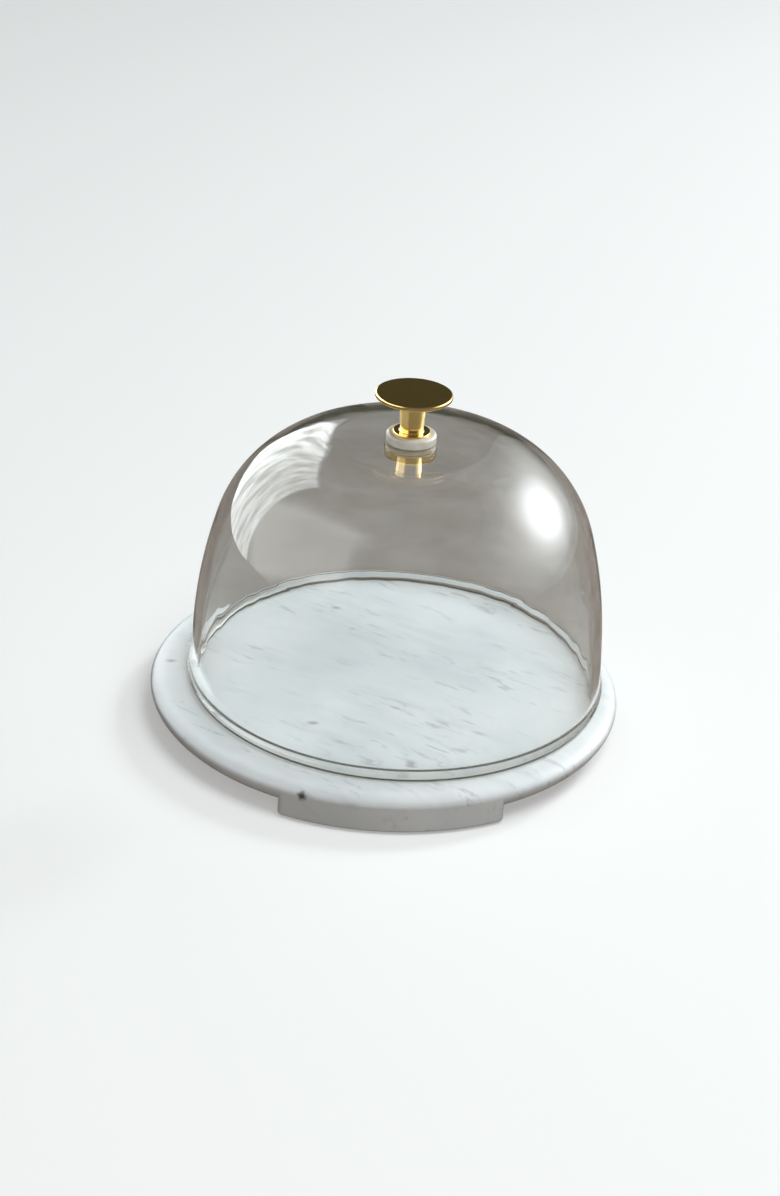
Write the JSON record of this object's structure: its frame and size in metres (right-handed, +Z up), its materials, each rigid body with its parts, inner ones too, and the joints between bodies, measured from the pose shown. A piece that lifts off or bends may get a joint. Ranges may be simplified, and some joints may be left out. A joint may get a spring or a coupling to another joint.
{
  "type": "cheese dome",
  "caption": "Clear glass bell with a flat-topped brass knob, standing loose on a round marble slab with an undercut rim and short integral feet.",
  "frame": {"origin": "middle of the footprint, on the table under the pads", "axes": "+Z up along the axis of the slab; one foot faces -Y; the bell's axis stands 6 mm toward +X and 3 mm toward +Y, where the loose bell was set down"},
  "size_m": [0.28, 0.28, 0.205],
  "materials": {
    "marble": "honed white marble with soft grey veins",
    "clear_pad": "translucent soft pad",
    "clear_glass": "clear, polished",
    "white_washer": "milky white, satin",
    "clear_gasket": "translucent silicone",
    "cap_brass": "polished",
    "screw_steel": "plain stainless",
    "knob_brass": "mirror polished"
  },
  "bodies": {
    "base": {"marble_base": "marble", "pad_front": "clear_pad", "pad_right": "clear_pad", "pad_left": "clear_pad"},
    "dome": {"glass_dome": "clear_glass", "seat_washer": "white_washer", "inner_gasket": "clear_gasket", "inner_cap": "cap_brass", "knob_screw": "screw_steel", "knob": "knob_brass"}
  },
  "joints": [
    {"name": "dome_lift", "type": "slide", "parent": "base", "child": "dome", "axis": [0, 0, 1], "range_m": [0, 0.2]}
  ]
}
